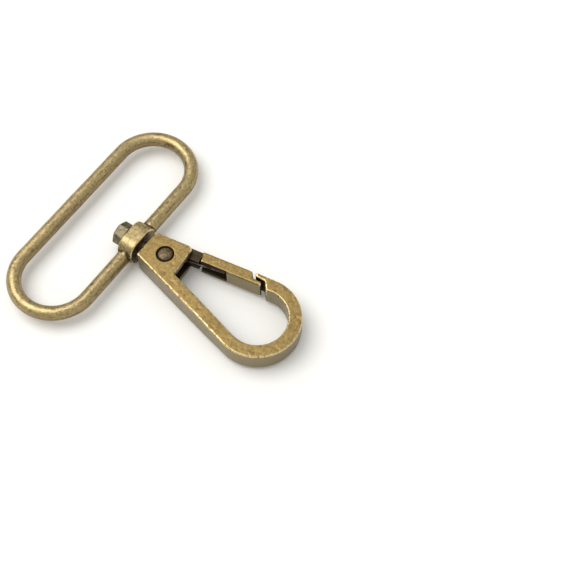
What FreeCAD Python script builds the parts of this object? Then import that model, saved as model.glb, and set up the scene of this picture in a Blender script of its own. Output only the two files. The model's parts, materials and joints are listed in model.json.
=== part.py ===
import FreeCAD, Part
import math
import os

# Swivel snap hook with an oval strap loop, zinc die casting, antique brass plated.
# Millimetres. It lies flat: +X runs along the swivel axis towards the hook's tip, +Z is up.
# Each piece is drawn with the gate's pivot at x = y = 0 and the swivel axis at z = 0, and is
# then moved so that the origin is at the bottom centre of the whole.

# Gate rivet and swivel stud, which set the bores and slots round them.
RIVET_R = 1.0
RIVET_PLAY = 0.05
RIVET_LIP = 0.33            # the head stands out this far all round the shank
RIVET_DOME = 0.25
HEAD_DROP = 0.05            # the rivet head's edge below the face
COUNTERBORE_ROOM = 0.22
COUNTERBORE_SHARE = 0.455   # of the ear's thickness
STUD_R = 1.1
STUD_PLAY = 0.06
STUD_LIP = 1.15
STUD_HEAD_LENGTH = 2.15
STUD_HEAD_PLAY = 0.25
STUD_HEAD_EDGE = 0.35
STUD_UPSET = 0.18           # the peened tail is this much wider than the stud, all round
STUD_TAIL_LENGTH = 0.45
STUD_TAIL_EDGE = 0.18       # length of the tail's chamfer
STUD_TAIL_ROOM = 0.07       # between the tail and the slot's sides
RIVET_HEAD_R = RIVET_R + RIVET_LIP
COUNTERBORE_R = RIVET_HEAD_R + COUNTERBORE_ROOM
STUD_HEAD_R = STUD_R + STUD_LIP
STUD_TAIL_R = STUD_R + STUD_UPSET

# Hook body, seen from above: two straight sides that run tangent into a round head.
BLOCK_END = 4.0             # pivot to the end face at the collar
BLOCK_HALF_WIDTH = 2.85     # at that end face
HEAD_X = 19.75              # pivot to the centre of the round head
HEAD_Y = -0.6
HEAD_R = 7.6
BAND = 2.4                  # width of the spine and of the head's band
BLOCK_T = 4.9               # thickness at the block
HOOK_T = 4.0                # thickness at the head
TAPER_FROM = 9.0            # the thickness falls from here to just past the head's centre
TAPER_PAST = 0.25
FRONT_X = 3.55              # block's front face, level with the pivot
FRONT_LEAN = 4.0            # degrees the front face leans
RIM = 0.3                   # rounding of the top and bottom rims
EAR_CORNER = 1.0
SMALL_CORNER = 0.3

# Slot in the block for the gate's neck, and the pocket in the spine for the spring's leg.
SLOT_T = 2 * (STUD_TAIL_R + STUD_TAIL_ROOM)
END_WALL = 1.4              # between the slot and the end face
SLOT_PAST = 0.5             # the slot's cut runs this far past the ears' front, into the throat
SPINE_WALL = 1.05           # left between the slot and the spine's outer side
POCKET_END = 11.2           # pivot to the end of the pocket
POCKET_END_DEPTH = 0.45
POCKET_TOP = 0.95
POCKET_LEDGE = 0.55         # metal left below the pocket
POCKET_BOTTOM = POCKET_LEDGE - BLOCK_T / 2
COUNTERBORE_DEPTH = COUNTERBORE_SHARE * (BLOCK_T - SLOT_T) / 2

# Strap loop: a round wire bent to an oval, cast in one with the collar that swivels.
STRAP_OPENING = 38.4        # clear length inside the loop, takes 38 mm webbing
STRAP_GAP = 11.5            # clear width inside the loop
WIRE_D = 2.6
WIRE_SWELL = 0.4            # the wire thickens by this where it runs into the collar
WIRE_SWELL_LENGTH = 0.8
SWELL_CLEAR = 0.25          # the thick end starts this far outside the stud head's radius
COLLAR_SHOULDER = 0.45      # the collar is longer than the wire is thick by this
COLLAR_STEP = 0.3           # the collar's flats stand above the block's faces
COLLAR_CHEEK = 1.2          # the collar is wider than the stud's head by this, each side
COLLAR_ROUND = 0.42         # corner radius as a share of the collar's height
COLLAR_EDGE = 0.25
COLLAR_GAP = 0.95           # between the collar and the hook's block
COLLAR_LENGTH = WIRE_D + COLLAR_SHOULDER
COLLAR_FLATS = BLOCK_T + 2 * COLLAR_STEP
COLLAR_CORNER = COLLAR_FLATS * COLLAR_ROUND
COLLAR_WIDTH = 2 * (STUD_HEAD_R + COLLAR_CHEEK)

# Torsion spring.
SPRING_WIRE_D = 0.42
COIL_ROOM = 0.24            # between the rivet and the coil
COIL_GAP = 0.03             # between two turns
COIL_TURNS = 1.5
COIL_SIDE_ROOM = 0.205
SPRING_TOUCH = 0.04         # between a leg's end and the metal it bears on
LEG_SHORT = 0.7             # a leg ends this far before its channel or pocket does
LEG_STEPS = (0.04, 0.08, 0.16, 0.32, 0.64, 1.0)     # shares of a leg where its line is set out
COIL_STEPS = 36
COIL_R = RIVET_R + COIL_ROOM + SPRING_WIRE_D / 2
COIL_PITCH = SPRING_WIRE_D + COIL_GAP

# Gate, measured along and across its own length.
GATE_W = 2.05
GATE_STEP = 0.1             # each face of the gate lies below the head's
GATE_PROUD = 0.2            # the gate stands out past the ears' edge
GATE_ROOT_OUTER = 5.6
ROOT_LEAN = 0.35            # the root's end is further out along the inner side
CUT_LEAN = 0.6              # each cut runs this much further along for its depth
NOSE_BACK = 2.35            # head's centre to the nose's end face, on the outer side
TOOTH_GAP = 0.65            # nose's end face to the tooth
TAB_TIP_FLAT = 0.2          # left between the rounded rims at the tip of the nose's lip
TAB_THICKENS = 0.15         # the lip is thicker at its root by this
TAB_GAP = 0.3               # between that lip and the gate's tooth
TAB_LENGTH = 1.6
SHOULDER_GAP = 0.5          # between the lip's end and the gate's shoulder
GATE_RIM = 0.3
NECK_PLAY = 0.1             # each side, between the neck and the ears
NECK_TAIL = 1.4
NECK_INTO_GATE = 0.5
BOSS_WALL = 0.65            # metal round the rivet's bore
CHANNEL_END = 10.9
CHANNEL_DEPTH = 1.1
CHANNEL_LIP = 0.6           # metal above and below the spring's channel
LEG_WAY_NEAR = 0.4          # the leg's way runs this far short of the channel's floor
LEG_WAY_FAR = 0.2
TAB_TIP_T = 2 * RIM + TAB_TIP_FLAT
TAB_ROOT_T = TAB_TIP_T + TAB_THICKENS
GATE_T = HOOK_T - 2 * GATE_STEP
GATE_ROOT_INNER = GATE_ROOT_OUTER + ROOT_LEAN
BOSS_R = RIVET_R + RIVET_PLAY + BOSS_WALL
CHANNEL_H = GATE_T - 2 * CHANNEL_LIP
COIL_SLOT_H = COIL_TURNS * COIL_PITCH + SPRING_WIRE_D + COIL_SIDE_ROOM
GATE_LEG = CHANNEL_END - LEG_SHORT
SPINE_LEG = POCKET_END - LEG_SHORT


def vec(x, y, z=0.0):
    return FreeCAD.Vector(x, y, z)


UP = vec(0, 0, 1)
ALONG = vec(1, 0, 0)
TALL = 20.0                 # how far a cutting shape runs above, below and beyond the metal
OVER = 0.01                 # overlap of two shapes that are joined


def tangent(y_start, side):
    """Point where a line from the block's end meets the round head, and its angle."""
    dx = HEAD_X + BLOCK_END
    dy = HEAD_Y - y_start
    reach = math.hypot(dx, dy)
    angle = math.atan2(dy, dx) + side * math.asin(HEAD_R / reach)
    length = math.sqrt(reach ** 2 - HEAD_R ** 2)
    point = vec(-BLOCK_END + length * math.cos(angle), y_start + length * math.sin(angle))
    return point, angle


GATE_TANGENT, GATE_ANGLE = tangent(BLOCK_HALF_WIDTH, 1)
SPINE_TANGENT, SPINE_ANGLE = tangent(-BLOCK_HALF_WIDTH, -1)


def gate_point(u, v, z=0.0):
    """Place u along the gate and v across it, from the pivot."""
    c = math.cos(GATE_ANGLE)
    s = math.sin(GATE_ANGLE)
    return vec(u * c - v * s, u * s + v * c, z)


def spine_point(u, v, z=0.0):
    """Place u along the spine and v across it, from the pivot."""
    c = math.cos(SPINE_ANGLE)
    s = math.sin(SPINE_ANGLE)
    return vec(u * c - v * s, u * s + v * c, z)


def cut_point(u, depth):
    """Place on a slanting cut that meets the gate's outer side at u, this deep below it."""
    return gate_point(u + CUT_LEAN * depth, GATE_OUTER - depth)


def gate_line(v):
    return gate_point(0, v), gate_point(1, v)


def spine_line(v):
    return spine_point(0, v), spine_point(1, v)


def line_across(x):
    return vec(x, 0), vec(x, 1)


# Distances of the outer sides from the pivot, and places that follow from them.
GATE_OUTER = BLOCK_END * math.sin(GATE_ANGLE) + BLOCK_HALF_WIDTH * math.cos(GATE_ANGLE)
GATE_INNER = GATE_OUTER - GATE_W
SPINE_OUTER = BLOCK_END * math.sin(SPINE_ANGLE) - BLOCK_HALF_WIDTH * math.cos(SPINE_ANGLE)
SPINE_INNER = SPINE_OUTER + BAND
SLOT_FLOOR = SPINE_OUTER + SPINE_WALL
HEAD_ALONG_GATE = HEAD_X * math.cos(GATE_ANGLE) + HEAD_Y * math.sin(GATE_ANGLE)
HEAD_ALONG_SPINE = HEAD_X * math.cos(SPINE_ANGLE) + HEAD_Y * math.sin(SPINE_ANGLE)
NOSE_FACE = HEAD_ALONG_GATE - NOSE_BACK
TOOTH_END = NOSE_FACE - TOOTH_GAP
TAB_START = NOSE_FACE - TAB_LENGTH
SHOULDER = TAB_START - SHOULDER_GAP
SLOT_END = -BLOCK_END + END_WALL
COLLAR_FACE = -BLOCK_END - COLLAR_GAP
COLLAR_BACK = COLLAR_FACE - COLLAR_LENGTH
STUD_SEAT = COLLAR_BACK - STUD_HEAD_PLAY
STUD_END = STUD_SEAT - STUD_HEAD_LENGTH
LOOP_NEAR = (COLLAR_FACE + COLLAR_BACK) / 2
LOOP_FAR = LOOP_NEAR - STRAP_GAP - WIRE_D
BEND_R = (LOOP_NEAR - LOOP_FAR) / 2
LOOP_STRAIGHT = (STRAP_OPENING + WIRE_D) / 2 - BEND_R
WHOLE_LENGTH_MID = (HEAD_X + HEAD_R + LOOP_FAR - WIRE_D / 2) / 2
TO_FRAME = vec(-WHOLE_LENGTH_MID, 0, COLLAR_FLATS / 2)


def prism(points, z_low, z_high):
    ring = [vec(p.x, p.y, z_low) for p in points]
    face = Part.Face(Part.makePolygon(ring + [ring[0]]))
    return face.extrude(UP * (z_high - z_low))


def upright(radius, z_low, z_high, centre=vec(0, 0)):
    return Part.makeCylinder(radius, z_high - z_low, vec(centre.x, centre.y, z_low), UP)


def lying(radius, x_low, x_high):
    return Part.makeCylinder(radius, x_high - x_low, vec(x_low, 0, 0), ALONG)


def is_upright(edge):
    a = edge.Vertexes[0].Point
    b = edge.Vertexes[-1].Point
    return math.hypot(a.x - b.x, a.y - b.y) < 1e-6 and abs(a.z - b.z) > 0.5


def runs_lengthwise(edge):
    return abs(edge.Vertexes[0].Point.x - edge.Vertexes[-1].Point.x) > 0.5


def away(edge, corner):
    p = edge.Vertexes[0].Point
    return math.hypot(p.x - corner.x, p.y - corner.y)


def round_corners(solid, corners):
    """Round the upright edge nearest each (point, radius)."""
    for corner, radius in corners:
        edges = [e for e in solid.Edges if is_upright(e)]
        nearest = min(edges, key=lambda edge: away(edge, corner))
        solid = solid.makeFillet(radius, [nearest])
    return solid


def round_rims(solid, radius):
    """Round every edge that runs along the upper or the lower outline."""
    rims = []
    for edge in solid.Edges:
        if is_upright(edge):
            continue
        upper = all(v.Point.z > 1.0 for v in edge.Vertexes)
        lower = all(v.Point.z < -1.0 for v in edge.Vertexes)
        if upper or lower:
            rims.append(edge)
    return solid.makeFillet(radius, rims)


def front_point(y):
    return vec(FRONT_X - y * math.tan(math.radians(FRONT_LEAN)), y)


FRONT_LINE = (front_point(0), front_point(1))


def meet(p, q, r, s):
    """Where the line p-q crosses the line r-s, seen from above."""
    a = q - p
    b = s - r
    k = ((r.x - p.x) * b.y - (r.y - p.y) * b.x) / (a.x * b.y - a.y * b.x)
    return p + a * k


EAR_LINE = GATE_OUTER - GATE_PROUD
EAR_TIP = meet(*FRONT_LINE, *gate_line(EAR_LINE))
NOTCH = meet(*FRONT_LINE, *spine_line(SPINE_INNER))
SLOT_CORNER = meet(*line_across(SLOT_END), *spine_line(SLOT_FLOOR))
POCKET_CORNER = meet(*line_across(POCKET_END), *spine_line(SPINE_INNER))


def hook_outline():
    """The outer teardrop, extruded to the block's thickness."""
    low = vec(-BLOCK_END, -BLOCK_HALF_WIDTH)
    high = vec(-BLOCK_END, BLOCK_HALF_WIDTH)
    tip = vec(HEAD_X + HEAD_R, HEAD_Y)
    edges = [
        Part.LineSegment(low, SPINE_TANGENT).toShape(),
        Part.Arc(SPINE_TANGENT, tip, GATE_TANGENT).toShape(),
        Part.LineSegment(GATE_TANGENT, high).toShape(),
        Part.LineSegment(high, low).toShape(),
    ]
    face = Part.Face(Part.Wire(edges))
    face.translate(vec(0, 0, -BLOCK_T / 2))
    return face.extrude(UP * BLOCK_T)


def throat():
    """Everything inside the teardrop, with the way out that the gate closes."""
    points = [
        NOTCH,
        spine_point(HEAD_ALONG_SPINE, SPINE_INNER),
        cut_point(NOSE_FACE, HEAD_R),
        cut_point(NOSE_FACE, TAB_ROOT_T),
        cut_point(TAB_START, TAB_TIP_T),
        cut_point(TAB_START, -TAB_TIP_T),
        gate_point(TAB_START, TALL),
        front_point(TALL),
    ]
    eye = upright(HEAD_R - BAND, -TALL, TALL, vec(HEAD_X, HEAD_Y))
    return eye.fuse(prism(points, -TALL, TALL))


def side_profile():
    """Side view of the hook, thick at the block and thinner at the head."""
    end = HEAD_X + TALL
    start = -BLOCK_END - TALL
    thick = BLOCK_T / 2
    thin = HOOK_T / 2
    taper_to = HEAD_X + TAPER_PAST
    middle = (TAPER_FROM + taper_to) / 2

    def slope(x_from, z_from, x_to, z_to):
        curve = Part.BezierCurve()
        poles = [vec(x_from, 0, z_from), vec(middle, 0, z_from), vec(middle, 0, z_to), vec(x_to, 0, z_to)]
        curve.setPoles(poles)
        return curve.toShape()

    def line(x_from, z_from, x_to, z_to):
        return Part.LineSegment(vec(x_from, 0, z_from), vec(x_to, 0, z_to)).toShape()

    edges = [
        line(start, -thick, TAPER_FROM, -thick),
        slope(TAPER_FROM, -thick, taper_to, -thin),
        line(taper_to, -thin, end, -thin),
        line(end, -thin, end, thin),
        line(end, thin, taper_to, thin),
        slope(taper_to, thin, TAPER_FROM, thick),
        line(TAPER_FROM, thick, start, thick),
        line(start, thick, start, -thick),
    ]
    face = Part.Face(Part.Wire(edges))
    face.translate(vec(0, -TALL, 0))
    return face.extrude(vec(0, 2 * TALL, 0))


def gate_slot():
    """Slot between the ears, open to the gate's side and to the front."""
    points = [
        vec(SLOT_END, TALL),
        SLOT_CORNER,
        spine_point(NOTCH.x, SLOT_FLOOR),
        vec(NOTCH.x, NOTCH.y),
        vec(NOTCH.x + SLOT_PAST, NOTCH.y),
        vec(NOTCH.x + SLOT_PAST, TALL),
    ]
    return prism(points, -SLOT_T / 2, SLOT_T / 2)


def spring_pocket():
    """Shallow ramp in the spine's inner side, deepest at the block."""
    points = [
        spine_point(NOTCH.x, SLOT_FLOOR),
        vec(POCKET_CORNER.x, POCKET_CORNER.y - POCKET_END_DEPTH),
        POCKET_CORNER,
        NOTCH,
    ]
    return prism(points, POCKET_BOTTOM, POCKET_TOP)


def nose_depth():
    """How deep the nose's end face reaches before it meets the round of the eye."""
    slope = 1 + CUT_LEAN ** 2
    lean = CUT_LEAN * NOSE_BACK + HEAD_R
    apart = NOSE_BACK ** 2 + HEAD_R ** 2 - (HEAD_R - BAND) ** 2
    return (lean - math.sqrt(lean ** 2 - slope * apart)) / slope


def hook_body():
    body = hook_outline().common(side_profile())
    ear_reach = TAB_START - SMALL_CORNER
    ear_edge = [
        gate_point(-TALL, EAR_LINE),
        gate_point(ear_reach, EAR_LINE),
        gate_point(ear_reach, TALL),
        gate_point(-TALL, TALL),
    ]
    body = body.cut(throat()).cut(prism(ear_edge, -TALL, TALL))
    corners = [
        (EAR_TIP, EAR_CORNER),
        (NOTCH, SMALL_CORNER),
        (cut_point(TAB_START, 0), SMALL_CORNER),
        (cut_point(TAB_START, TAB_TIP_T), SMALL_CORNER),
        (cut_point(NOSE_FACE, TAB_ROOT_T), SMALL_CORNER),
        (cut_point(NOSE_FACE, nose_depth()), SMALL_CORNER),
        (vec(-BLOCK_END, -BLOCK_HALF_WIDTH), SMALL_CORNER),
        (vec(-BLOCK_END, BLOCK_HALF_WIDTH - GATE_PROUD), SMALL_CORNER),
    ]
    body = round_corners(body, corners)
    body = round_rims(body, RIM)
    body = body.cut(gate_slot()).cut(spring_pocket())
    body = body.cut(upright(RIVET_R, -TALL, TALL))
    sink = BLOCK_T / 2 - COUNTERBORE_DEPTH
    body = body.cut(upright(COUNTERBORE_R, sink, TALL)).cut(upright(COUNTERBORE_R, -TALL, -sink))
    return body.cut(lying(STUD_R, STUD_END, SLOT_END))


def gate_bar():
    """The part of the gate outside the block, with the tooth behind the nose's lip."""
    points = [
        gate_point(GATE_ROOT_OUTER, GATE_OUTER),
        cut_point(SHOULDER, 0),
        cut_point(SHOULDER, TAB_TIP_T + TAB_GAP),
        cut_point(TOOTH_END, TAB_ROOT_T + TAB_GAP),
        cut_point(TOOTH_END, GATE_W),
        gate_point(GATE_ROOT_INNER, GATE_INNER),
    ]
    bar = prism(points, -GATE_T / 2, GATE_T / 2)
    corners = [(point, SMALL_CORNER) for point in points[1:5]]
    return round_rims(round_corners(bar, corners), GATE_RIM)


def gate_neck():
    """Thinner root that turns on the rivet between the ears."""
    half = SLOT_T / 2 - NECK_PLAY
    deep = GATE_ROOT_INNER + NECK_INTO_GATE
    corner = math.sqrt(BOSS_R ** 2 - NECK_TAIL ** 2)
    points = [
        gate_point(-NECK_TAIL, GATE_OUTER),
        gate_point(deep, GATE_OUTER),
        gate_point(deep, GATE_INNER),
        gate_point(0, GATE_INNER),
        vec(0, 0),
        gate_point(-NECK_TAIL, corner),
    ]
    neck = round_corners(prism(points, -half, half), [(points[0], SMALL_CORNER)])
    return neck.fuse(upright(BOSS_R, -half, half))


def gate():
    body = gate_bar().fuse(gate_neck())
    floor = GATE_INNER + CHANNEL_DEPTH
    channel = [
        gate_point(GATE_ROOT_OUTER, -BOSS_R),
        gate_point(CHANNEL_END, -BOSS_R),
        gate_point(CHANNEL_END, floor),
        gate_point(GATE_ROOT_OUTER, floor),
    ]
    body = body.cut(prism(channel, -CHANNEL_H / 2, CHANNEL_H / 2))
    leg_way = [
        gate_point(0, -TALL),
        gate_point(GATE_ROOT_OUTER + OVER, -TALL),
        gate_point(GATE_ROOT_OUTER + OVER, floor - LEG_WAY_FAR),
        gate_point(0, floor - LEG_WAY_NEAR),
    ]
    half = COIL_SLOT_H / 2
    coil_room = COIL_R + SPRING_WIRE_D
    body = body.cut(prism(leg_way, -half, half)).cut(upright(coil_room, -half, half))
    return body.cut(upright(RIVET_R + RIVET_PLAY, -TALL, TALL)).removeSplitter()


def turned(profile, axis):
    """Solid of revolution from (distance along, radius) pairs."""
    if axis == "z":
        points = [vec(r, 0, along) for along, r in profile]
        direction = UP
    else:
        points = [vec(along, r, 0) for along, r in profile]
        direction = ALONG
    face = Part.Face(Part.makePolygon(points + [points[0]]))
    return face.revolve(vec(0, 0, 0), direction, 360)


def gate_rivet():
    """Shank through both ears, with a low domed head sunk in each counterbore."""
    seat = BLOCK_T / 2 - COUNTERBORE_DEPTH
    edge = BLOCK_T / 2 - HEAD_DROP
    dome_r = (RIVET_HEAD_R ** 2 + RIVET_DOME ** 2) / (2 * RIVET_DOME)
    rivet = upright(RIVET_R, -seat - OVER, seat + OVER)
    for side in (1, -1):
        z_low = min(side * seat, side * (edge + RIVET_DOME))
        z_high = max(side * seat, side * (edge + RIVET_DOME))
        ball = Part.makeSphere(dome_r, vec(0, 0, side * (edge + RIVET_DOME - dome_r)))
        rivet = rivet.fuse(upright(RIVET_HEAD_R, z_low, z_high).common(ball))
    return rivet.removeSplitter()


def swivel_stud():
    """Headed pin through the collar and the end wall, peened over inside the slot."""
    return turned(
        [
            (STUD_END, 0),
            (STUD_END, STUD_HEAD_R - STUD_HEAD_EDGE),
            (STUD_END + STUD_HEAD_EDGE, STUD_HEAD_R),
            (STUD_SEAT, STUD_HEAD_R),
            (STUD_SEAT, STUD_R),
            (SLOT_END, STUD_R),
            (SLOT_END, STUD_TAIL_R),
            (SLOT_END + STUD_TAIL_LENGTH - STUD_TAIL_EDGE, STUD_TAIL_R),
            (SLOT_END + STUD_TAIL_LENGTH, STUD_R - STUD_UPSET),
            (SLOT_END + STUD_TAIL_LENGTH, 0),
        ],
        "x",
    )


def collar():
    """Rounded block round the swivel axis."""
    corner = vec(COLLAR_BACK, -COLLAR_WIDTH / 2, -COLLAR_FLATS / 2)
    block = Part.makeBox(COLLAR_LENGTH, COLLAR_WIDTH, COLLAR_FLATS, corner)
    for lengthwise, radius in ((True, COLLAR_CORNER), (False, COLLAR_EDGE)):
        edges = [e for e in block.Edges if runs_lengthwise(e) == lengthwise]
        block = block.makeFillet(radius, edges)
    return block


def strap_loop():
    wire_r = WIRE_D / 2
    swell_r = (WIRE_D + WIRE_SWELL) / 2
    swell_from = STUD_HEAD_R + SWELL_CLEAR
    middle = (LOOP_NEAR + LOOP_FAR) / 2
    loop = collar()
    for x in (LOOP_NEAR, LOOP_FAR):
        bar = Part.makeCylinder(wire_r, 2 * LOOP_STRAIGHT, vec(x, -LOOP_STRAIGHT, 0), vec(0, 1, 0))
        loop = loop.fuse(bar)
    for side in (1, -1):
        bend = Part.makeTorus(BEND_R, wire_r, vec(0, 0, 0), UP, -180, 180, 180)
        if side < 0:
            bend.rotate(vec(0, 0, 0), UP, 180)
        bend.translate(vec(middle, side * LOOP_STRAIGHT, 0))
        start = vec(LOOP_NEAR, side * swell_from, 0)
        length = COLLAR_WIDTH / 2 + WIRE_SWELL_LENGTH - swell_from
        swell = Part.makeCone(swell_r, wire_r, length, start, vec(0, side, 0))
        loop = loop.fuse(bend).fuse(swell)
    loop = loop.cut(lying(STUD_R + STUD_PLAY, STUD_SEAT, -BLOCK_END))
    return loop.removeSplitter()


def spring_line(start_angle, sweep):
    """The spring wire's centre line: a level leg, the coil and the other level leg."""
    height = COIL_PITCH * sweep / 360

    def at(share, along):
        a = math.radians(start_angle + sweep * share)
        climb = share - math.sin(2 * math.pi * share) / (2 * math.pi)
        base = vec(COIL_R * math.cos(a), COIL_R * math.sin(a), height * (climb - 0.5))
        return base + vec(-math.sin(a), math.cos(a)) * along

    points = [at(0, -GATE_LEG * share) for share in reversed(LEG_STEPS)]
    points += [at(i / COIL_STEPS, 0) for i in range(COIL_STEPS + 1)]
    points += [at(1, SPINE_LEG * share) for share in LEG_STEPS]
    line = Part.BSplineCurve()
    line.interpolate(points)
    return line


def gate_spring():
    """Torsion spring: coil round the rivet, a leg in the gate and a leg in the spine."""
    wire_r = SPRING_WIRE_D / 2
    reach = wire_r + SPRING_TOUCH
    gate_rise = GATE_INNER + CHANNEL_DEPTH - reach
    lift = math.atan2(gate_rise, GATE_LEG) - math.asin(COIL_R / math.hypot(gate_rise, GATE_LEG))
    ramp_u = POCKET_CORNER.dot(spine_point(1, 0))
    ramp_v = SPINE_INNER - POCKET_END_DEPTH
    ramp_rise = (ramp_v - SLOT_FLOOR) / (ramp_u - NOTCH.x)
    spine_drop = ramp_v - (ramp_u - SPINE_LEG) * ramp_rise + reach
    fall = math.atan2(spine_drop, SPINE_LEG) + math.asin(COIL_R / math.hypot(spine_drop, SPINE_LEG))
    gate_leg_angle = math.degrees(GATE_ANGLE + lift)
    spine_leg_angle = math.degrees(SPINE_ANGLE + fall)
    sweep = 540 + spine_leg_angle - gate_leg_angle
    path = spring_line(90 + gate_leg_angle, sweep)
    start = path.value(path.FirstParameter)
    section = Part.Wire([Part.makeCircle(wire_r, start, path.tangent(path.FirstParameter)[0])])
    return Part.Wire([path.toShape()]).makePipeShell([section], True, False)


PIECES = {
    "hook_body": hook_body,
    "gate": gate,
    "gate_rivet": gate_rivet,
    "gate_spring": gate_spring,
    "swivel_stud": swivel_stud,
    "strap_loop": strap_loop,
}

os.makedirs("parts", exist_ok=True)
for name, make in PIECES.items():
    shape = make()
    if len(shape.Solids) != 1 or not shape.isValid():
        raise RuntimeError(name + " is not one sound solid")
    solid = shape.Solids[0]
    solid.translate(TO_FRAME)
    solid.exportStep("parts/" + name + ".step")
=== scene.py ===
import json
import math

import bmesh
import bpy
import numpy as np
from mathutils import Matrix, Vector, noise
from mathutils.bvhtree import BVHTree


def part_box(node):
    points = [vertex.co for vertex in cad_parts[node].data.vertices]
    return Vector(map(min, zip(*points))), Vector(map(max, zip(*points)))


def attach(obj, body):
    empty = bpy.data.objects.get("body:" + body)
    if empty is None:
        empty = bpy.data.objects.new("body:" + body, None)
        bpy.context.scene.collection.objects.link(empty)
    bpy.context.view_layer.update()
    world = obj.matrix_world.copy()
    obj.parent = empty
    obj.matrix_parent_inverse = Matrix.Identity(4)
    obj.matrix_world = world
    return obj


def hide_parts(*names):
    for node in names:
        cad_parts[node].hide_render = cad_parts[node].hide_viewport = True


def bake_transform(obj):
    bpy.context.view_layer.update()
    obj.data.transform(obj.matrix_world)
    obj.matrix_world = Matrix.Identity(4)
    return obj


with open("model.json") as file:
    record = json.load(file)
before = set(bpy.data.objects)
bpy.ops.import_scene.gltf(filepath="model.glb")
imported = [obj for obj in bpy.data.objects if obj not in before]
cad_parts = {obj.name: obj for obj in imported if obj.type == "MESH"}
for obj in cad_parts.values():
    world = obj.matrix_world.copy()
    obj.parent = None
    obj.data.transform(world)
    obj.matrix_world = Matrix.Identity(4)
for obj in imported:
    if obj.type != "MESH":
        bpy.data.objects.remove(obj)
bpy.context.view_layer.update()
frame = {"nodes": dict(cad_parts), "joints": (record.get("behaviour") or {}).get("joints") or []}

MM = 0.001

# ---------------------------------------------------------------------------------------
# Hook body. A zinc die casting, tumbled until its rims are soft, plated in antique brass.
# The dark finish is rubbed back to pale gold along the rims, where the pale gold is also a
# painted highlight, and stays brown in the slot, in the spring's pocket and in the rivet's
# counterbores; painted shade darkens walls that face each other and the metal by the gate and loop.
# ---------------------------------------------------------------------------------------
CAST_VOXEL = 0.11           # mm between the points of a casting's skin
CAST_SMOOTHING = 4
EASE, UNEASE = 0.5, 0.52    # each smoothing pass shrinks the skin, then swells it back
RIM_REACH = 6               # averaging passes that find the proud rims
CAST_SEED = Vector((3.1, 7.7, 1.9))
LOWER_RIM_SHADE = 0.45            # the rims on the lower half get only this share of the rim colour: painted shade
RIVET_RING = 2.0            # the rims this close to the rivet's axis keep their dark plating
HOOK_REACH = 9.0            # walls that face each other this near are darkened: dark plating and painted shade
CLOSE_BY = 1.4              # and walls this near are darkened fully: dark plating and painted shade
CLOSE_SHARE = 1.2
RAY_LIFT = 0.03             # a ray starts this far off the skin

BRASS_OLIVE = (0.215, 0.148, 0.050, 1.0)
BRASS_GOLD = (0.400, 0.280, 0.108, 1.0)
BRASS_BROWN = (0.140, 0.085, 0.035, 1.0)
# painted shading: the castings' side walls are greyed toward this
BRASS_PAINTED_SIDE_GREY = (0.230, 0.200, 0.125, 1.0)
# pale gold of the rubbed rims, also painted on them as a highlight
BRASS_RUB_AND_HIGHLIGHT = (0.720, 0.570, 0.300, 1.0)
# dark plating of the hollows, also used as painted shade between facing walls and parts
BRASS_SOOT_AND_SHADE = (0.030, 0.022, 0.015, 1.0)


def mesh_points(mesh):
    flat = np.empty(len(mesh.vertices) * 3)
    mesh.vertices.foreach_get("co", flat)
    return flat.reshape(-1, 3)


def mesh_normals(mesh):
    flat = np.empty(len(mesh.vertices) * 3)
    mesh.vertex_normals.foreach_get("vector", flat)
    return flat.reshape(-1, 3)


def averager(mesh):
    """A function that moves values at the mesh's points to the mean of their neighbours'."""
    ends = np.empty(len(mesh.edges) * 2, dtype=np.int64)
    mesh.edges.foreach_get("vertices", ends)
    a, b = ends.reshape(-1, 2).T
    size = len(mesh.vertices)
    count = np.bincount(a, minlength=size) + np.bincount(b, minlength=size)

    def averaged(values):
        columns = [np.bincount(a, v[b], size) + np.bincount(b, v[a], size) for v in values.T]
        return np.stack(columns, 1) / count[:, None]

    return averaged


def set_points(mesh, points):
    mesh.vertices.foreach_set("co", points.ravel())
    mesh.update()


def store(mesh, name, values):
    made = mesh.attributes.new(name, "FLOAT", "POINT")
    made.data.foreach_set("value", values.astype(np.float32))


def even_skin(bm, name, voxel, smoothing):
    """One closed, evenly meshed skin round everything in bm (in millimetres), eased smooth."""
    mesh = bpy.data.meshes.new(name)
    bm.to_mesh(mesh)
    bm.free()
    shell = bpy.data.objects.new(name, mesh)
    bpy.context.scene.collection.objects.link(shell)
    remesh = shell.modifiers.new("even", "REMESH")
    remesh.mode = "VOXEL"
    remesh.voxel_size = voxel
    seen = shell.evaluated_get(bpy.context.evaluated_depsgraph_get())
    skin = bpy.data.meshes.new_from_object(seen)
    shell.modifiers.clear()
    shell.data = skin
    averaged = averager(skin)
    points = mesh_points(skin)
    for _ in range(smoothing):
        points += EASE * (averaged(points) - points)
        points -= UNEASE * (averaged(points) - points)
    set_points(skin, points)
    return shell


def node_metal(node):
    """A merged copy of a node's mesh, in millimetres."""
    bm = bmesh.new()
    bm.from_mesh(frame["nodes"][node].data)
    bmesh.ops.scale(bm, vec=(1 / MM,) * 3, verts=bm.verts)
    bmesh.ops.remove_doubles(bm, verts=bm.verts, dist=1e-4)
    return bm


def metal_mesh(node):
    """A node's metal as a loose mesh, for other pieces to be sheltered by."""
    mesh = bpy.data.meshes.new(node + "_metal")
    bm = node_metal(node)
    bm.to_mesh(mesh)
    bm.free()
    return mesh


def wavy(points, wavelength, seed):
    """Smooth noise from -1 to 1 at each point, with hills this far apart in millimetres."""
    return np.array([noise.noise(Vector(p) / wavelength + seed) for p in points])


def sink(mesh, depth):
    """Move every point inwards along its normal by depth, in millimetres."""
    set_points(mesh, mesh_points(mesh) - mesh_normals(mesh) * depth[:, None])


def cast_texture(mesh, swells=0.035, dents=0.03):
    """Low swells and shallow dents, as a tumbled casting has, all below the true surface."""
    points = mesh_points(mesh)
    broad = wavy(points, 2.6, CAST_SEED)
    small = wavy(points, 0.75, CAST_SEED * 2)
    dent = np.clip(small - 0.18, 0, None)
    sink(mesh, swells * (0.5 + 0.5 * broad) + dents * dent / 0.4)


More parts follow.
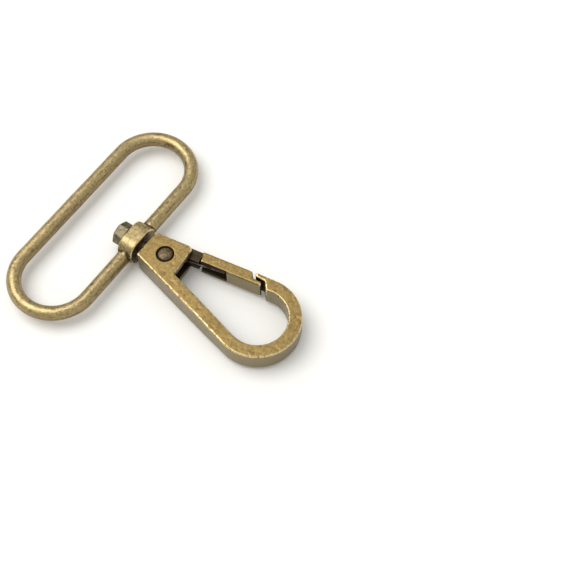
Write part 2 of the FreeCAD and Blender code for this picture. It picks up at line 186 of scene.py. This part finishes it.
def mark_wear_and_painted_light(mesh, full_wear=0.05, full_fill=0.05, kept=1.0):
    """Store how proud and how deep each point lies against the metal close round it, and how
    sideways it faces. Proud rims take the rubbed colour and its painted highlight.
    """
    averaged = averager(mesh)
    points = mesh_points(mesh)
    spread = points
    for _ in range(RIM_REACH):
        spread = averaged(spread)
    proud = ((points - spread) * mesh_normals(mesh)).sum(1)
    # rim share for the rubbed colour, which is partly wear and partly a painted highlight
    store(mesh, "rim_rub_and_highlight", np.clip(proud / full_wear, 0, 1) * kept)
    store(mesh, "deep", np.clip(-proud / full_fill, 0, 1))
    # how sideways each point faces, used for painted shade on the sides and a painted highlight on the
    # rivet's crown
    store(mesh, "flank", 1 - np.abs(mesh_normals(mesh)[:, 2]))


def mark_shelter(mesh, others=(), reach=2.6, stain_and_shade_floor=0.0):
    """Store how shut in each point is: the share of rays from it that meet metal nearby.
    Shut-in points get dark plating and painted shade.
    """
    bm = bmesh.new()
    bm.from_mesh(mesh)
    for other in others:
        bm.from_mesh(other)
    tree = BVHTree.FromBMesh(bm)
    bm.free()
    slants = [(0, 0)] + [(1.0, k * math.pi / 3) for k in range(6)]
    met = []
    for p, n in zip(mesh_points(mesh), mesh_normals(mesh)):
        normal = Vector(n)
        side = normal.orthogonal().normalized()
        other = normal.cross(side)
        hits = 0
        for lean, turn in slants:
            way = normal + lean * (side * math.cos(turn) + other * math.sin(turn))
            far = tree.ray_cast(Vector(p) + normal * RAY_LIFT, way.normalized(), reach)[3]
            hits += 0 if far is None else 1 + CLOSE_SHARE * (far < CLOSE_BY)
        met.append(hits / len(slants))
    averaged = averager(mesh)
    values = np.array(met)[:, None]
    for _ in range(3):
        values = averaged(values)
    # The last argument sets the least darkness at each point: dark plating and painted shade.
    store(mesh, "shelter", np.maximum(np.clip(values[:, 0] * 1.6 - 0.3, 0, 1), stain_and_shade_floor))


def finish_piece(piece, material, body, slot, *nodes):
    """Bring a piece from millimetres to its place in the frame and give it its body; the slot argument
    is not used.
    """
    piece.data.transform(Matrix.Scale(MM, 4))
    piece.data.materials.clear()
    piece.data.materials.append(material)
    piece.data.polygons.foreach_set("use_smooth", [True] * len(piece.data.polygons))
    if body:
        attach(piece, body)
    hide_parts(*nodes)


def add(tree, kind, inputs=None, **settings):
    new = tree.nodes.new("ShaderNode" + kind)
    for key, value in settings.items():
        setattr(new, key, value)
    for key, value in (inputs or {}).items():
        if isinstance(value, bpy.types.NodeSocket):
            tree.links.new(value, new.inputs[key])
        else:
            new.inputs[key].default_value = value
    return new


def ramp(tree, value, low, high, to_low=0.0, to_high=1.0):
    inputs = {"Value": value, "From Min": low, "From Max": high, "To Min": to_low, "To Max": to_high}
    return add(tree, "MapRange", inputs, interpolation_type="SMOOTHSTEP").outputs[0]


def patches(tree, place, size_mm, detail=4.0, roughness=0.55):
    inputs = {"Vector": place, "Scale": 1 / (size_mm * MM), "Detail": detail, "Roughness": roughness}
    return add(tree, "TexNoise", inputs).outputs[0]


def stored(tree, name):
    return add(tree, "Attribute", attribute_name=name).outputs["Fac"]


def mix(tree, share, first, second):
    new = add(tree, "Mix", {0: share, 6: first, 7: second}, data_type="RGBA")
    return new.outputs[2]


def math_node(tree, operation, first, second):
    return add(tree, "Math", {0: first, 1: second}, operation=operation).outputs[0]


def new_finish(name):
    material = bpy.data.materials.new(name)
    material.use_nodes = True
    tree = material.node_tree
    return material, tree, tree.nodes["Principled BSDF"]


def brass_body(tree, place, olive, gold, brown, patch_size, brown_from):
    """Colour of the antique plating before wear: mottled olive and gold with brown stains."""
    mottle = patches(tree, place, patch_size, 6.0, 0.68)
    colour = mix(tree, ramp(tree, mottle, 0.32, 0.72), olive, gold)
    stain = patches(tree, place, patch_size * 3.4, 5.0, 0.62)
    colour = mix(tree, ramp(tree, stain, brown_from, brown_from + 0.2, 0.0, 0.8), colour, brown)
    speck = patches(tree, place, 0.2, 3.0, 0.6)
    colour = mix(tree, ramp(tree, speck, 0.54, 0.70, 0.0, 0.5), colour, brown)
    return colour, mottle, stain


def antique_cast(name):
    material, tree, shader = new_finish(name)
    place = add(tree, "TexCoord").outputs["Object"]
    colour, mottle, stain = brass_body(tree, place, BRASS_OLIVE, BRASS_GOLD, BRASS_BROWN, 0.38, 0.54)
    # Painted shading: walls are greyed the more sideways they face.
    flank = ramp(tree, stored(tree, "flank"), 0.55, 0.95, 0.0, 0.75)
    colour = mix(tree, flank, colour, BRASS_PAINTED_SIDE_GREY)
    # Rubbed pale rims: real wear, and a painted highlight in the same pale gold.
    broken = math_node(tree, "ADD", stored(tree, "rim_rub_and_highlight"), math_node(tree, "MULTIPLY", mottle, 0.7))
    rub_and_highlight = ramp(tree, broken, 0.78, 1.25)
    colour = mix(tree, rub_and_highlight, colour, BRASS_RUB_AND_HIGHLIGHT)
    # Dark plating in the hollows and stains, plus painted shade between facing walls and next to other
    # parts.
    dirt_and_shade = math_node(tree, "MAXIMUM", stored(tree, "deep"), stored(tree, "shelter"))
    dirt_and_shade = math_node(tree, "ADD", dirt_and_shade, math_node(tree, "MULTIPLY", stain, 0.25))
    soot_and_shade = ramp(tree, dirt_and_shade, 0.3, 0.95, 0.0, 0.92)
    colour = mix(tree, soot_and_shade, colour, BRASS_SOOT_AND_SHADE)
    tree.links.new(colour, shader.inputs["Base Color"])
    shader.inputs["Metallic"].default_value = 0.92
    rough = ramp(tree, mottle, 0.3, 0.7, 0.30, 0.48)
    rough = math_node(tree, "SUBTRACT", rough, math_node(tree, "MULTIPLY", rub_and_highlight, 0.14))
    rough = math_node(tree, "ADD", rough, math_node(tree, "MULTIPLY", soot_and_shade, 0.2))
    tree.links.new(rough, shader.inputs["Roughness"])
    grain = patches(tree, place, 0.22, 5.0, 0.65)
    bump = add(tree, "Bump", {"Height": grain, "Strength": 0.35, "Distance": 0.00006})
    tree.links.new(bump.outputs[0], shader.inputs["Normal"])
    return material


cast_brass = antique_cast("antique_brass_cast")
hook = even_skin(node_metal("hook_body"), "hook_casting", CAST_VOXEL, CAST_SMOOTHING)
cast_texture(hook.data)
PIVOT = Vector(frame["joints"][0]["pos_m"])
from_rivet = np.linalg.norm(mesh_points(hook.data)[:, :2] - np.array((PIVOT / MM).xy), axis=1)
# Painted shade: the rims below the middle get less of the pale rim colour.
shaded_lower_rims = np.where(mesh_points(hook.data)[:, 2] < PIVOT.z / MM, LOWER_RIM_SHADE, 1.0)
mark_wear_and_painted_light(hook.data, 0.04, 0.04, np.clip((from_rivet - RIVET_RING) / 0.3, 0.1, 1) * shaded_lower_rims)
# The gate and the loop darken the hook's walls near them: painted shade, on the dark plating of the
# recesses.
mark_shelter(hook.data, [metal_mesh("gate"), metal_mesh("strap_loop")], HOOK_REACH)
finish_piece(hook, cast_brass, "hook", "antique_brass_cast", "hook_body")

# ---------------------------------------------------------------------------------------
# Swivel stud. A turned steel pin, plated with the rest. Its flat head holds the collar and
# its tail is peened over inside the block's slot.
# ---------------------------------------------------------------------------------------
STUD_LOW, STUD_HIGH = (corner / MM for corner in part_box("swivel_stud"))
AXIS_Z = (STUD_LOW.z + STUD_HIGH.z) / 2
STUD_HEAD_R = (STUD_HIGH.z - STUD_LOW.z) / 2
STUD_HEAD_LENGTH = 2.15
STUD_SHANK_R = 1.1
STUD_TAIL_R = 1.28
STUD_TAIL_LENGTH = 0.45
STUD_STEPS = 96
STUD_VOXEL = 0.09
STUD_FLATS = 7              # the head is struck to this many uneven flats when it is set
STUD_TURN = 0.35
STUD_STRUCK = 0.75          # share of a full flat
STUD_GREY = (0.215, 0.190, 0.125, 1.0)
STUD_OLIVE = (0.100, 0.078, 0.040, 1.0)


def turned_piece(name, outline, steps, axis, centre):
    """A body of revolution from (along, radius) pairs that start and end on the axis."""
    bm = bmesh.new()
    along, out = Vector((1, 0, 0)), Vector((0, 0, 1))
    if axis == "z":
        along, out = out, along
    points = [bm.verts.new(Vector(centre) + along * a + out * r) for a, r in outline]
    edges = [bm.edges.new(pair) for pair in zip(points, points[1:])]
    bmesh.ops.spin(
        bm, geom=points + edges, cent=centre, axis=along,
        angle=2 * math.pi, steps=steps, use_merge=True,
    )
    bmesh.ops.remove_doubles(bm, verts=bm.verts, dist=1e-5)
    bmesh.ops.recalc_face_normals(bm, faces=bm.faces)
    mesh = bpy.data.meshes.new(name)
    bm.to_mesh(mesh)
    bm.free()
    piece = bpy.data.objects.new(name, mesh)
    bpy.context.scene.collection.objects.link(piece)
    return piece


def rounded(corners, steps=5):
    """Ease the middle points of an outline: each (along, radius, ease) becomes a small arc."""
    outline = []
    for k, (a, r, ease) in enumerate(corners):
        here = Vector((a, r))
        if not ease:
            outline.append(here)
            continue
        before = Vector(corners[k - 1][:2]) - here
        after = Vector(corners[k + 1][:2]) - here
        first, last = here + before.normalized() * ease, here + after.normalized() * ease
        for step in range(steps + 1):
            t = step / steps
            outline.append((1 - t) ** 2 * first + 2 * t * (1 - t) * here + t ** 2 * last)
    return outline


def stud_finish():
    material, tree, shader = new_finish("stud_brass")
    place = add(tree, "TexCoord").outputs["Object"]
    mottle = patches(tree, place, 0.7, 6.0, 0.7)
    colour = mix(tree, ramp(tree, mottle, 0.36, 0.66), STUD_OLIVE, STUD_GREY)
    speck = patches(tree, place, 0.2, 3.0, 0.6)
    colour = mix(tree, ramp(tree, speck, 0.52, 0.7, 0.0, 0.6), colour, BRASS_BROWN)
    # Rubbed pale rims on the head: real wear, and a painted highlight in the same pale gold.
    rub_and_highlight = ramp(tree, stored(tree, "rim_rub_and_highlight"), 0.4, 1.0, 0.0, 0.5)
    colour = mix(tree, rub_and_highlight, colour, BRASS_RUB_AND_HIGHLIGHT)
    tree.links.new(colour, shader.inputs["Base Color"])
    shader.inputs["Metallic"].default_value = 0.9
    tree.links.new(ramp(tree, mottle, 0.3, 0.7, 0.3, 0.46), shader.inputs["Roughness"])
    around = add(tree, "Mapping", {"Vector": place, "Scale": (9.0, 1.0, 1.0)}).outputs[0]
    cuts = patches(tree, around, 0.9, 3.0, 0.5)
    bump = add(tree, "Bump", {"Height": cuts, "Strength": 0.3, "Distance": 0.00004})
    tree.links.new(bump.outputs[0], shader.inputs["Normal"])
    return material


seat = STUD_LOW.x + STUD_HEAD_LENGTH
tail = STUD_HIGH.x - STUD_TAIL_LENGTH
stud_outline = rounded([
    (STUD_LOW.x + 0.06, 0, 0),
    (STUD_LOW.x + 0.06, STUD_HEAD_R - 0.75, 0.2),
    (STUD_LOW.x, STUD_HEAD_R - 0.5, 0.14),
    (STUD_LOW.x + 0.28, STUD_HEAD_R, 0.16),
    (seat, STUD_HEAD_R, 0.12),
    (seat, STUD_SHANK_R, 0.05),
    (tail, STUD_SHANK_R, 0.05),
    (tail, STUD_TAIL_R, 0.08),
    (STUD_HIGH.x, STUD_SHANK_R - 0.18, 0.2),
    (STUD_HIGH.x, 0, 0),
])
blank = turned_piece("stud_blank", [(p.x, p.y) for p in stud_outline], STUD_STEPS, "x", (0, 0, AXIS_Z))
bm = bmesh.new()
bm.from_mesh(blank.data)
bpy.data.objects.remove(blank)
stud = even_skin(bm, "swivel_pin", STUD_VOXEL, CAST_SMOOTHING)
points = mesh_points(stud.data)
half_flat = math.pi / STUD_FLATS
turned_by = np.arctan2(points[:, 2] - AXIS_Z, points[:, 1]) + STUD_TURN
from_flat = np.mod(turned_by, 2 * half_flat) - half_flat
struck = STUD_STRUCK * (1 - math.cos(half_flat) / np.cos(from_flat)) * (points[:, 0] < seat + 0.03)
points[:, 1] -= points[:, 1] * struck
points[:, 2] -= (points[:, 2] - AXIS_Z) * struck
set_points(stud.data, points)
cast_texture(stud.data, 0.03, 0.04)
mark_wear_and_painted_light(stud.data, 0.05, 0.05)
finish_piece(stud, stud_finish(), "hook", "stud_brass", "swivel_stud")

# ---------------------------------------------------------------------------------------
# Strap loop. Round brass wire bent to an oval. Its two ends run into a rounded collar cast
# on them, with a rough, pitted skin where the casting met the wire.
# ---------------------------------------------------------------------------------------
LOOP_LOW, LOOP_HIGH = (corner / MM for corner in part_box("strap_loop"))
COLLAR_LENGTH = 3.05
COLLAR_WIDTH = 6.9
COLLAR_HEIGHT = 5.5
COLLAR_BORE_R = 1.16
BORE_OVER = 1.0             # the bore's cutter runs past the collar by this, each side
COLLAR_CORNER = 2.31
COLLAR_EDGE = 0.25
WIRE_R = 1.3
WIRE_RING = 64
WIRE_STEP = 0.35
WIRE_START = 1.7            # the wire's ends stop this far from the swivel axis
FLARE = 0.22                # the wire's extra radius at the collar
FLARE_FROM = 3.45
FLARE_LENGTH = 0.9
TRUE_FROM = 0.15            # the wire is trued round from here on, past the flare's start
TRUE_LENGTH = 0.5
LOOP_VOXEL = 0.12
NEAR_X = LOOP_HIGH.x - COLLAR_LENGTH / 2
FAR_X = LOOP_LOW.x + WIRE_R
BEND_X = (NEAR_X + FAR_X) / 2
BEND_R = (NEAR_X - FAR_X) / 2
BEND_Y = LOOP_HIGH.y - WIRE_R - BEND_R


def run_straight(bm, ring, length):
    steps = max(1, round(abs(length) / WIRE_STEP))
    move = (0, length / steps, 0)
    made = bmesh.ops.spin(bm, geom=ring, cent=(0, 0, 0), axis=(0, 0, 1), dvec=move, angle=0, steps=steps)
    return made["geom_last"]


def run_bend(bm, ring, side):
    steps = round(math.pi * BEND_R / WIRE_STEP)
    centre = (BEND_X, side * BEND_Y, AXIS_Z)
    made = bmesh.ops.spin(bm, geom=ring, cent=centre, axis=(0, 0, 1), angle=math.pi, steps=steps)
    return made["geom_last"]


def close_end(bm, ring):
    bmesh.ops.contextual_create(bm, geom=[part for part in ring if isinstance(part, bmesh.types.BMEdge)])


bm = bmesh.new()
turn = Matrix.Translation((NEAR_X, WIRE_START, AXIS_Z)) @ Matrix.Rotation(math.pi / 2, 4, "X")
bmesh.ops.create_circle(bm, segments=WIRE_RING, radius=WIRE_R, matrix=turn)
first_ring = list(bm.verts) + list(bm.edges)
ring = run_straight(bm, first_ring, BEND_Y - WIRE_START)
ring = run_bend(bm, ring, 1)
ring = run_straight(bm, ring, -2 * BEND_Y)
ring = run_bend(bm, ring, -1)
ring = run_straight(bm, ring, BEND_Y - WIRE_START)
close_end(bm, first_ring)
close_end(bm, ring)
bmesh.ops.remove_doubles(bm, verts=bm.verts, dist=1e-5)

block = bmesh.new()
bmesh.ops.create_cube(block, size=1)
bmesh.ops.scale(block, vec=(COLLAR_LENGTH, COLLAR_WIDTH, COLLAR_HEIGHT), verts=block.verts)
long_edges = [e for e in block.edges if abs(e.verts[0].co.x - e.verts[1].co.x) > 1]
bmesh.ops.bevel(
    block, geom=long_edges, offset=COLLAR_CORNER, offset_type="OFFSET",
    segments=16, profile=0.5, affect="EDGES", material=-1,
)
rims = [e for e in block.edges if abs(e.verts[0].co.x - e.verts[1].co.x) < 1e-4]
bmesh.ops.bevel(
    block, geom=rims, offset=COLLAR_EDGE, offset_type="OFFSET",
    segments=4, profile=0.5, affect="EDGES", material=-1,
)
bmesh.ops.translate(block, vec=(NEAR_X, 0, AXIS_Z), verts=block.verts)
block_mesh = bpy.data.meshes.new("collar_block")
block.to_mesh(block_mesh)
block.free()
bm.from_mesh(block_mesh)
bmesh.ops.recalc_face_normals(bm, faces=bm.faces)
loop = even_skin(bm, "strap_loop_wire", LOOP_VOXEL, CAST_SMOOTHING)

# The bore for the stud's shank, cut through the joined collar.
through = COLLAR_LENGTH + BORE_OVER
bore_outline = [(-BORE_OVER, 0), (-BORE_OVER, COLLAR_BORE_R), (through, COLLAR_BORE_R), (through, 0)]
collar_back = (LOOP_HIGH.x - COLLAR_LENGTH, 0, AXIS_Z)
bore = turned_piece("bore", bore_outline, WIRE_RING, "x", collar_back)
cut = loop.modifiers.new("bore", "BOOLEAN")
cut.operation = "DIFFERENCE"
cut.solver = "EXACT"
cut.object = bore
cut_loop = loop.evaluated_get(bpy.context.evaluated_depsgraph_get())
bored = bpy.data.meshes.new_from_object(cut_loop)
loop.modifiers.clear()
loop.data = bored
bpy.data.objects.remove(bore)


def oval_line(points):
    """For each point: the wire's centre line beside it, and how far along the oval that is."""
    straight = np.clip(points[:, 1], -BEND_Y, BEND_Y)
    end = points[:, 1] - straight
    near = points[:, 0] > BEND_X
    side = np.stack([points[:, 0] - BEND_X, end], 1)
    angle = np.where(end == 0, np.where(near, 0.0, math.pi), np.arctan2(np.abs(end), side[:, 0]))
    centre = np.stack([
        BEND_X + BEND_R * np.cos(angle),
        straight + np.sign(end) * BEND_R * np.sin(angle),
        np.full(len(points), AXIS_Z),
    ], 1)
    along = np.where(near | (end != 0), np.abs(straight), 2 * BEND_Y - np.abs(straight))
    along += BEND_R * angle
    return centre, np.sign(points[:, 1]) * along, angle


points = mesh_points(loop.data)
centre = oval_line(points)[0]
spoke = points - centre
reach = np.linalg.norm(spoke, axis=1)
near_side = points[:, 0] > BEND_X
from_flare = np.abs(points[:, 1]) - FLARE_FROM
flare = np.where(near_side, FLARE * (1 - np.clip(from_flare / FLARE_LENGTH, 0, 1)) ** 2, 0)
true_r = WIRE_R + flare
share = np.where(near_side, np.clip((from_flare - TRUE_FROM) / TRUE_LENGTH, 0, 1), 1.0)[:, None]
trued = centre + spoke / np.maximum(reach, 1e-6)[:, None] * true_r[:, None]
set_points(loop.data, points + share * (trued - points))

points = mesh_points(loop.data)
join = np.exp(-((np.abs(points[:, 1]) - FLARE_FROM - 0.1) / 0.55) ** 2) * (points[:, 0] > BEND_X)
rough = np.clip(wavy(points, 0.42, CAST_SEED * 3) + 0.15, 0, None) * join
dented = np.clip(wavy(points, 0.8, CAST_SEED * 4) - 0.2, 0, None)
unround = 0.5 + 0.5 * wavy(points, 5.0, CAST_SEED * 5)
inner = np.linalg.norm(points[:, 1:] - np.array([0, AXIS_Z]), axis=1) < COLLAR_BORE_R + 0.05
sink(loop.data, np.where(inner, 0, 0.10 * rough + 0.06 * dented + 0.035 * unround))
mark_wear_and_painted_light(loop.data, 0.05, 0.05)
# Painted shade where the wire's skin closes in on itself, on the dark plating of the hollows.
mark_shelter(loop.data, (), 1.6)
centre, along, angle = oval_line(mesh_points(loop.data))
store(loop.data, "join", join)
drawn = loop.data.attributes.new("drawn", "FLOAT_VECTOR", "POINT")
spoke = mesh_points(loop.data) - centre
outward = np.stack([np.cos(angle), np.sign(points[:, 1]) * np.sin(angle), np.zeros(len(points))], 1)
around = np.stack([along * 0.22, (spoke * outward).sum(1), spoke[:, 2]], 1)
drawn.data.foreach_set("vector", (around * MM).astype(np.float32).ravel())

WIRE_OLIVE = (0.310, 0.235, 0.105, 1.0)
WIRE_GOLD = (0.540, 0.420, 0.215, 1.0)
WIRE_BROWN = (0.110, 0.070, 0.035, 1.0)


def wire_finish():
    material, tree, shader = new_finish("antique_brass_wire")
    place = add(tree, "TexCoord").outputs["Object"]
    drawn = add(tree, "Attribute", attribute_name="drawn").outputs["Vector"]
    colour, mottle, stain = brass_body(tree, place, WIRE_OLIVE, WIRE_GOLD, WIRE_BROWN, 0.42, 0.58)
    streak = patches(tree, drawn, 0.35, 4.0, 0.6)
    colour = mix(tree, ramp(tree, streak, 0.52, 0.70, 0.0, 0.65), colour, WIRE_BROWN)
    # Painted shade: the wire's sides are darkened toward brown.
    flank = ramp(tree, stored(tree, "flank"), 0.35, 0.95, 0.0, 0.6)
    colour = mix(tree, flank, colour, WIRE_BROWN)
    # Rubbed pale spots on the wire: real wear, and a painted highlight in the same pale gold.
    broken = math_node(tree, "ADD", stored(tree, "rim_rub_and_highlight"), math_node(tree, "MULTIPLY", mottle, 0.7))
    rub_and_highlight = ramp(tree, broken, 0.95, 1.5)
    colour = mix(tree, rub_and_highlight, colour, BRASS_RUB_AND_HIGHLIGHT)
    # Dark plating in hollows and the crust at the join, plus painted shade in the narrow places.
    dirt_and_shade = math_node(tree, "MAXIMUM", stored(tree, "deep"), stored(tree, "shelter"))
    crust = math_node(tree, "MULTIPLY", stored(tree, "join"), math_node(tree, "MULTIPLY", streak, 0.7))
    dirt_and_shade = math_node(tree, "ADD", dirt_and_shade, crust)
    soot_and_shade = ramp(tree, dirt_and_shade, 0.3, 0.95, 0.0, 0.85)
    colour = mix(tree, soot_and_shade, colour, BRASS_SOOT_AND_SHADE)
    tree.links.new(colour, shader.inputs["Base Color"])
    shader.inputs["Metallic"].default_value = 0.92
    rough = ramp(tree, mottle, 0.3, 0.7, 0.26, 0.42)
    rough = math_node(tree, "ADD", rough, math_node(tree, "MULTIPLY", soot_and_shade, 0.25))
    tree.links.new(rough, shader.inputs["Roughness"])
    grain = patches(tree, drawn, 0.12, 4.0, 0.6)
    pits = patches(tree, place, 0.3, 4.0, 0.6)
    drawn_bump = add(tree, "Bump", {"Height": grain, "Strength": 0.25, "Distance": 0.00005})
    pitted = {"Height": pits, "Strength": 0.3, "Distance": 0.00006, "Normal": drawn_bump.outputs[0]}
    bump = add(tree, "Bump", pitted)
    tree.links.new(bump.outputs[0], shader.inputs["Normal"])
    return material


finish_piece(loop, wire_finish(), "loop", "antique_brass_wire", "strap_loop")

# ---------------------------------------------------------------------------------------
# Gate. A smaller casting in the same finish, with a thinner neck between the ears. Its
# inner side is hollowed for the spring's leg and its tooth shuts behind the nose's lip.
# ---------------------------------------------------------------------------------------
GATE_VOXEL = 0.07
GATE_LEAN = math.radians(10.2)
GATE_ROOT = 5.6             # pivot to the neck's end
GATE_INNER = 1.463          # pivot to the gate's inner side
CHANNEL_END = 10.9
STAIN_DEPTH = 0.22          # the channel's dark plating reaches this far up the gate's side

gate = even_skin(node_metal("gate"), "gate_casting", GATE_VOXEL, CAST_SMOOTHING)
cast_texture(gate.data, 0.02, 0.02)
mark_wear_and_painted_light(gate.data, 0.03, 0.03)
place = mesh_points(gate.data) - np.array(PIVOT / MM)
length_out = place[:, 0] * math.cos(GATE_LEAN) + place[:, 1] * math.sin(GATE_LEAN)
width_out = place[:, 1] * math.cos(GATE_LEAN) - place[:, 0] * math.sin(GATE_LEAN)
# Painted shade on the neck between the ears; the channel keeps its dark plating a little way up the
# gate's side.
neck = np.clip((GATE_ROOT - length_out) / 0.15, 0, 1) * 0.72
short_of_end = np.clip((CHANNEL_END + 0.1 - length_out) / 0.15, 0, 1)
hollow = short_of_end * np.clip((GATE_INNER + STAIN_DEPTH - width_out) / 0.12, 0, 1)
# The hook's ears darken the gate near them: painted shade, on the dark plating of the channel.
mark_shelter(gate.data, [metal_mesh("hook_body")], HOOK_REACH, np.maximum(neck, hollow))
finish_piece(gate, cast_brass, "gate", "antique_brass_cast", "gate")

# ---------------------------------------------------------------------------------------
# Gate spring. Hard-drawn steel wire: a coil round the rivet, one leg in the gate's channel
# and the other in the spine's pocket. Opening the gate would wind the coil up; here it keeps its shut
# shape.
# ---------------------------------------------------------------------------------------
SPRING_STEEL = (0.20, 0.17, 0.14, 1.0)
SPRING_BROWN = (0.07, 0.05, 0.035, 1.0)

bm = node_metal("gate_spring")
bmesh.ops.recalc_face_normals(bm, faces=bm.faces)
spring_mesh = bpy.data.meshes.new("gate_spring_wire")
bm.to_mesh(spring_mesh)
bm.free()
spring = bpy.data.objects.new("gate_spring_wire", spring_mesh)
bpy.context.scene.collection.objects.link(spring)
spring_steel, tree, shader = new_finish("spring_steel")
place = add(tree, "TexCoord").outputs["Object"]
rust = patches(tree, place, 0.5, 4.0, 0.6)
rusted = mix(tree, ramp(tree, rust, 0.4, 0.65), SPRING_STEEL, SPRING_BROWN)
tree.links.new(rusted, shader.inputs["Base Color"])
shader.inputs["Metallic"].default_value = 0.9
tree.links.new(ramp(tree, rust, 0.3, 0.7, 0.3, 0.5), shader.inputs["Roughness"])
finish_piece(spring, spring_steel, None, "spring_steel", "gate_spring")
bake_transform(spring)

# ---------------------------------------------------------------------------------------
# Gate rivet. A brass pin through both ears and the gate's neck, headed in a counterbore on
# each side. The low domes are dark brown; their tops are rubbed and carry a painted highlight.
# ---------------------------------------------------------------------------------------
RIVET_LOW, RIVET_HIGH = (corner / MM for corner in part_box("gate_rivet"))
RIVET_HEAD_R = (RIVET_HIGH.x - RIVET_LOW.x) / 2
RIVET_SHANK_R = 1.0
RIVET_SEAT = 1.95           # from the pivot's middle to the counterbore's floor
RIVET_SIDE = 0.25           # height of the head's straight edge above its seat
DOME_STEPS = 14
RIVET_BROWN = (0.085, 0.055, 0.035, 1.0)
RIVET_OLIVE = (0.210, 0.160, 0.080, 1.0)

top = (RIVET_HIGH.z - RIVET_LOW.z) / 2
edge = RIVET_SEAT + RIVET_SIDE
half = [
    (RIVET_SEAT, RIVET_SHANK_R),
    (RIVET_SEAT, RIVET_HEAD_R - 0.03),
    (RIVET_SEAT + 0.04, RIVET_HEAD_R),
    (edge, RIVET_HEAD_R),
]
for k in range(1, DOME_STEPS):
    climb = k * math.pi / 2 / DOME_STEPS
    half.append((edge + (top - edge) * math.sin(climb), RIVET_HEAD_R * math.cos(climb)))
half.append((top, 0))
rivet_outline = [(-a, r) for a, r in reversed(half)] + half
middle = (RIVET_LOW + RIVET_HIGH) / 2
rivet = turned_piece("gate_rivet_pin", rivet_outline, 72, "z", middle)
mark_wear_and_painted_light(rivet.data, 0.06, 0.06)
rivet_brass, tree, shader = new_finish("rivet_brass")
place = add(tree, "TexCoord").outputs["Object"]
mottle = patches(tree, place, 0.45, 5.0, 0.7)
# The crowns are lighter olive: rubbed brass and a painted highlight.
crown = ramp(tree, stored(tree, "flank"), 0.0, 0.3, 1.0, 0.0)
crown_rub_and_highlight = math_node(tree, "MULTIPLY", crown, ramp(tree, mottle, 0.4, 0.62))
colour = mix(tree, crown_rub_and_highlight, RIVET_BROWN, RIVET_OLIVE)
tree.links.new(colour, shader.inputs["Base Color"])
shader.inputs["Metallic"].default_value = 0.9
tree.links.new(ramp(tree, mottle, 0.3, 0.7, 0.32, 0.5), shader.inputs["Roughness"])
pits = patches(tree, place, 0.25, 4.0, 0.6)
bump = add(tree, "Bump", {"Height": pits, "Strength": 0.4, "Distance": 0.00006})
tree.links.new(bump.outputs[0], shader.inputs["Normal"])
finish_piece(rivet, rivet_brass, "hook", "rivet_brass", "gate_rivet")

# ---------------------------------------------------------------------------------------
# Studio: a pale matte floor, a bright room that is whitest overhead, one large soft light
# up on the left, and the camera.
# ---------------------------------------------------------------------------------------
FLOOR_DROP = 0.00001
FLOOR_HALF = 0.6
ROOM_LOW = (0.55, 0.545, 0.53, 1.0)
ROOM_HIGH = (0.95, 0.95, 0.94, 1.0)
ROOM_STRENGTH = 0.9

bm = bmesh.new()
bmesh.ops.create_grid(bm, x_segments=1, y_segments=1, size=FLOOR_HALF)
bmesh.ops.translate(bm, vec=(0, 0, -FLOOR_DROP), verts=bm.verts)
floor_mesh = bpy.data.meshes.new("floor")
bm.to_mesh(floor_mesh)
bm.free()
floor = bpy.data.objects.new("floor", floor_mesh)
bpy.context.scene.collection.objects.link(floor)
paper, _, paper_shader = new_finish("studio_paper")
paper_shader.inputs["Base Color"].default_value = (0.90, 0.895, 0.875, 1.0)
paper_shader.inputs["Roughness"].default_value = 0.9
floor_mesh.materials.append(paper)

world = bpy.data.worlds.new("room")
bpy.context.scene.world = world
world.use_nodes = True
room = world.node_tree
above = add(room, "SeparateXYZ", {"Vector": add(room, "TexCoord").outputs["Generated"]}).outputs["Z"]
height = ramp(room, above, -0.1, 0.9)
shade = mix(room, height, ROOM_LOW, ROOM_HIGH)
room.links.new(shade, room.nodes["Background"].inputs["Color"])
room.nodes["Background"].inputs["Strength"].default_value = ROOM_STRENGTH


RIGHT = Vector((0.8209, 0.5710, 0.0129)).normalized()
AWAY = Vector((-0.2709, 0.4091, -0.8713)).normalized()
LEVEL_AWAY = Vector((AWAY.x, AWAY.y, 0)).normalized()
LEVEL_RIGHT = Vector((LEVEL_AWAY.y, -LEVEL_AWAY.x, 0))
KEY_PLACE = LEVEL_AWAY * 0.06 - LEVEL_RIGHT * 0.22 + Vector((0, 0, 0.42))
KEY_SIZE = 0.40
KEY_POWER = 1.5

lamp = bpy.data.lights.new("key", "AREA")
lamp.shape = "RECTANGLE"
lamp.size = KEY_SIZE
lamp.size_y = KEY_SIZE
lamp.energy = KEY_POWER
lamp.color = (1.0, 0.99, 0.97)
holder = bpy.data.objects.new("key", lamp)
bpy.context.scene.collection.objects.link(holder)
holder.location = KEY_PLACE
holder.rotation_euler = (-KEY_PLACE).to_track_quat("-Z", "Y").to_euler()

lens = bpy.data.cameras.new("camera")
lens.sensor_width = 36.0
lens.lens = 75.73
lens.clip_start = 0.001
lens.shift_x = 0.5 / 570
lens.shift_y = -0.5 / 570
camera = bpy.data.objects.new("camera", lens)
bpy.context.scene.collection.objects.link(camera)
view_up = RIGHT.cross(AWAY)
camera.matrix_world = Matrix((
    (RIGHT.x, view_up.x, -AWAY.x, 0.0721625),
    (RIGHT.y, view_up.y, -AWAY.y, -0.0759),
    (RIGHT.z, view_up.z, -AWAY.z, 0.18136),
    (0, 0, 0, 1),
))
bpy.context.scene.camera = camera
bpy.context.scene.view_settings.view_transform = "Standard"
